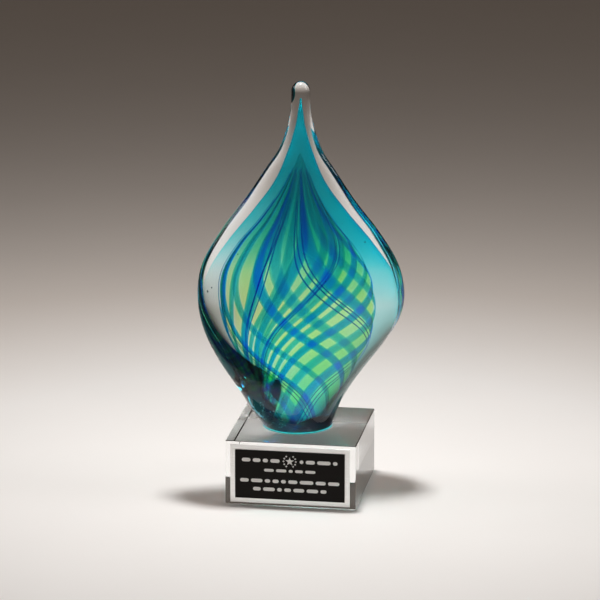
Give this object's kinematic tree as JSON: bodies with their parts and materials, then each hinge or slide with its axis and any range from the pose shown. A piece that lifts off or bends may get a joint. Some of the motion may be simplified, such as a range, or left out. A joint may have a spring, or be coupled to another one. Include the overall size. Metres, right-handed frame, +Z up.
{
  "type": "crystal award",
  "caption": "Twisted art-glass flame with blue, teal and green canes cased in clear glass, bonded to a square crystal block with a black and silver name plate.",
  "frame": {"origin": "centre of the crystal block's underside, on the surface that the award stands on", "axes": "+Z up through the flame's tip, -Y out of the front face with the name plate, +X to the right seen from the front"},
  "size_m": [0.117, 0.0783, 0.2433],
  "materials": {
    "block_crystal": "clear optical crystal, polished, with small bevels",
    "clear_glass": "clear hand-worked glass, fire polished",
    "teal_glass": "transparent teal glass, deeper at the top",
    "green_glass": "transparent yellow-green glass",
    "blue_cane": "strong transparent blue glass",
    "teal_cane": "strong transparent teal glass",
    "cured_adhesive": "clear cured adhesive film",
    "adhesive_tape": "thin white double-sided tape",
    "silver_plate": "bright satin silver",
    "black_plate": "black lacquer, satin, with the marks engraved through to silver"
  },
  "bodies": {
    "root": {"crystal_block": "block_crystal", "clear_casing": "clear_glass", "clear_gather": "clear_glass", "clear_heart": "clear_glass", "teal_veil": "teal_glass", "green_ground": "green_glass", "adhesive_film": "cured_adhesive", "plate_tape": "adhesive_tape", "silver_plate": "silver_plate", "black_engraving_plate": "black_plate", "blue_ribbon_1": "blue_cane", "blue_ribbon_2": "blue_cane", "blue_ribbon_3": "blue_cane", "blue_ribbon_4": "blue_cane", "blue_ribbon_5": "blue_cane", "blue_ribbon_6": "blue_cane", "blue_ribbon_7": "blue_cane", "blue_ribbon_8": "blue_cane", "blue_ribbon_9": "blue_cane", "fine_thread_1": "blue_cane", "fine_thread_2": "blue_cane", "fine_thread_3": "blue_cane", "fine_thread_4": "blue_cane", "fine_thread_5": "blue_cane", "fine_thread_6": "blue_cane", "fine_thread_7": "blue_cane", "fine_thread_8": "blue_cane", "fine_thread_9": "blue_cane", "fine_thread_10": "blue_cane", "fine_thread_11": "blue_cane", "fine_thread_12": "blue_cane", "teal_ribbon_1": "teal_cane", "teal_ribbon_2": "teal_cane", "teal_ribbon_3": "teal_cane", "teal_ribbon_4": "teal_cane", "teal_ribbon_5": "teal_cane", "teal_ribbon_6": "teal_cane", "teal_ribbon_7": "teal_cane", "teal_ribbon_8": "teal_cane", "teal_ribbon_9": "teal_cane"}
  },
  "joints": []
}
